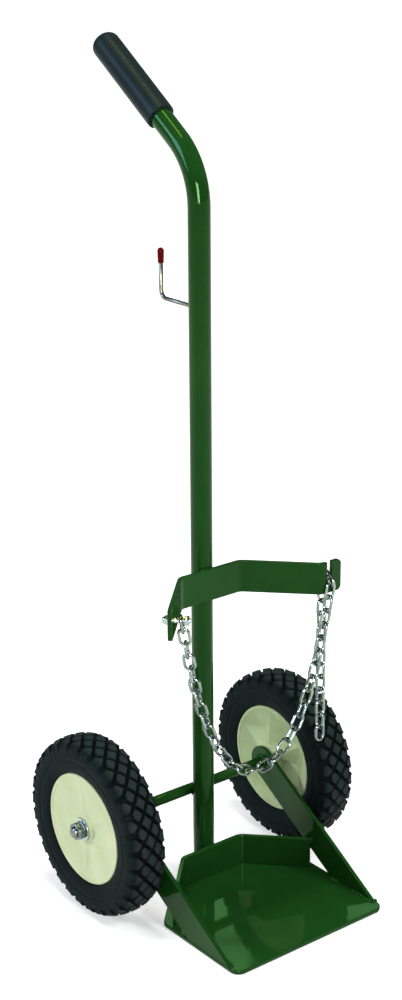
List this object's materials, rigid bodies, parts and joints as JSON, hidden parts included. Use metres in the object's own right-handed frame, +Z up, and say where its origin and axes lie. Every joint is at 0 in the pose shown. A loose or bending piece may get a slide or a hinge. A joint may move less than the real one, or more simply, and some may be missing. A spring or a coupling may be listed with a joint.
{
  "type": "gas cylinder trolley",
  "caption": "Upright hand trolley for a gas cylinder: bent tube handle with grip, cradle bracket with retaining chain, braced toe plate, hose hook and treaded wheels on an axle.",
  "frame": {"origin": "on the floor under the axis of the cylinder that the cradle is bent for", "axes": "+Z up, X along the axle, -Y the loading side, +Y the side of the handle"},
  "size_m": [0.3508, 0.3731, 0.9759],
  "materials": {
    "green_paint": "glossy green enamel over steel",
    "zinc_plate": "bright zinc plate",
    "zinc_chain": "bright zinc plate on welded links",
    "grip_black": "smooth satin black vinyl",
    "cap_red": "dipped red plastic",
    "hub_cream": "moulded off-white plastic with a soft sheen",
    "bush_black": "plain moulded plastic",
    "tyre_rubber": "moulded black rubber with a diamond tread"
  },
  "bodies": {
    "frame": {"post_tube": "green_paint", "handle_grip": "grip_black", "hook_rod": "zinc_plate", "hook_cap": "cap_red", "cylinder_bracket": "green_paint", "chain_bolt": "zinc_plate", "chain_nut": "zinc_plate", "chain_slot_link": "zinc_chain", "base_plate": "green_paint", "backstop": "green_paint", "brace_left": "green_paint", "brace_right": "green_paint", "axle_rod": "green_paint", "inner_washer_left": "zinc_plate", "inner_washer_right": "zinc_plate", "outer_washer_left": "zinc_plate", "outer_washer_right": "zinc_plate", "axle_nut_left": "zinc_plate", "axle_nut_right": "zinc_plate"},
    "wheel_left": {"hub_outer_left": "hub_cream", "hub_inner_left": "hub_cream", "bush_left": "bush_black", "tyre_left": "tyre_rubber"},
    "wheel_right": {"hub_outer_right": "hub_cream", "hub_inner_right": "hub_cream", "bush_right": "bush_black", "tyre_right": "tyre_rubber"},
    "loop_chain": {"chain_loop": "zinc_chain"},
    "tail_chain": {"chain_tail": "zinc_chain"}
  },
  "joints": [
    {"name": "wheel_left_spin", "type": "hinge", "parent": "frame", "child": "wheel_left", "pos_m": [-0.141, 0.13655, 0.107], "axis": [1, 0, 0], "continuous": true},
    {"name": "wheel_right_spin", "type": "hinge", "parent": "frame", "child": "wheel_right", "pos_m": [0.141, 0.13655, 0.107], "axis": [1, 0, 0], "continuous": true},
    {"name": "chain_swing", "type": "hinge", "parent": "frame", "child": "loop_chain", "pos_m": [-0.08971, 0.0404, 0.38115], "axis": [-0.9976, 0.0466, 0.0508], "range_deg": [0, 20]},
    {"name": "tail_swing", "type": "hinge", "parent": "frame", "child": "tail_chain", "pos_m": [0.11932, 0.04048, 0.37597], "axis": [0, 1, 0], "range_deg": [0, 10]}
  ]
}
